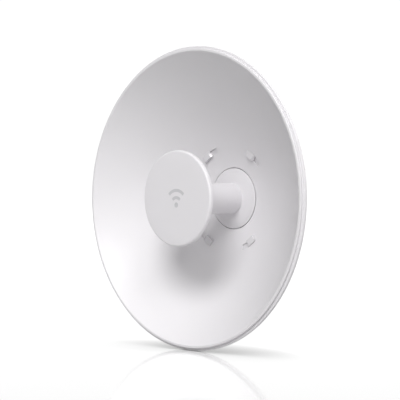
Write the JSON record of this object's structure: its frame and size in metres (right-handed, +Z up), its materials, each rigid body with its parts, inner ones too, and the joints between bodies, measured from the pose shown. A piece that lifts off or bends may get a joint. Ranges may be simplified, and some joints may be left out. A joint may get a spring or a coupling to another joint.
{
  "type": "outdoor wireless bridge",
  "caption": "Dish antenna with its radio in a round housing behind it, a feed head on a neck in front, and a tilting bracket banded to a pole.",
  "frame": {"origin": "on the axis of the pole that the bracket clamps to, level with the dish's centre", "axes": "+Z up along the pole, the dish looks along -Y, +X to the right seen from in front of the dish"},
  "size_m": [0.42, 0.2537, 0.42],
  "materials": {
    "dish_paint": "white powder coat",
    "white_plastic": "fine satin",
    "grey_rubber": "matt",
    "zinc_steel": "zinc plated",
    "bare_aluminium": "satin",
    "tin_plate": "bright tin",
    "circuit": "solder mask",
    "black_plastic": "fine satin",
    "clear_plastic": "clear",
    "thermal_rubber": "soft matt"
  },
  "bodies": {
    "pole_mount": {"pole_bracket": "zinc_steel", "pivot_bolt": "zinc_steel", "pivot_nut": "zinc_steel", "lock_bolt": "zinc_steel", "lock_nut": "zinc_steel", "clamp_band_upper": "zinc_steel", "clamp_band_lower": "zinc_steel", "band_tunnel_upper": "zinc_steel", "band_tunnel_lower": "zinc_steel"},
    "antenna": {"tilt_bracket": "zinc_steel", "bracket_screw_1": "zinc_steel", "bracket_screw_2": "zinc_steel", "bracket_screw_3": "zinc_steel", "bracket_screw_4": "zinc_steel", "dish_reflector": "dish_paint", "feed_cap": "white_plastic", "feed_backshell": "white_plastic", "feed_neck": "white_plastic", "subreflector": "bare_aluminium", "radiator_board": "circuit", "radiator_standoff_1": "bare_aluminium", "radiator_standoff_2": "bare_aluminium", "radiator_standoff_3": "bare_aluminium", "feed_board": "circuit", "feed_shield": "tin_plate", "neck_seal": "grey_rubber", "front_shell": "white_plastic", "rear_shell": "white_plastic", "shell_gasket": "grey_rubber", "shell_screw_1": "zinc_steel", "shell_screw_2": "zinc_steel", "shell_screw_3": "zinc_steel", "shell_screw_4": "zinc_steel", "ground_screw": "zinc_steel", "vent_plug": "black_plastic", "main_board": "circuit", "radio_shield": "tin_plate", "processor_shield": "tin_plate", "feed_connector": "black_plastic", "heat_spreader": "bare_aluminium", "thermal_pad": "thermal_rubber", "ethernet_jack": "tin_plate", "reset_switch": "black_plastic", "light_pipe": "clear_plastic"},
    "port_cover": {"port_cover": "white_plastic", "cable_grommet": "grey_rubber"},
    "reset_button": {"reset_button": "black_plastic"},
    "upper_screw": {"band_screw_upper": "zinc_steel"},
    "lower_screw": {"band_screw_lower": "zinc_steel"}
  },
  "joints": [
    {"name": "elevation_tilt", "type": "hinge", "parent": "pole_mount", "child": "antenna", "pos_m": [0, -0.045, 0], "axis": [1, 0, 0], "range_deg": [-20, 20]},
    {"name": "port_cover_slide", "type": "slide", "parent": "antenna", "child": "port_cover", "axis": [0, 0, -1], "range_m": [0, 0.036]},
    {"name": "reset_button_press", "type": "slide", "parent": "antenna", "child": "reset_button", "axis": [0, 0, 1], "range_m": [0, 0.0008], "stiffness_N_per_m": 1500},
    {"name": "upper_band_screw_turn", "type": "hinge", "parent": "pole_mount", "child": "upper_screw", "pos_m": [-0.02969, 0.01081, 0.0375], "axis": [-0.342, -0.9397, 0], "continuous": true},
    {"name": "lower_band_screw_turn", "type": "hinge", "parent": "pole_mount", "child": "lower_screw", "pos_m": [-0.02969, 0.01081, -0.0375], "axis": [-0.342, -0.9397, 0], "continuous": true}
  ]
}
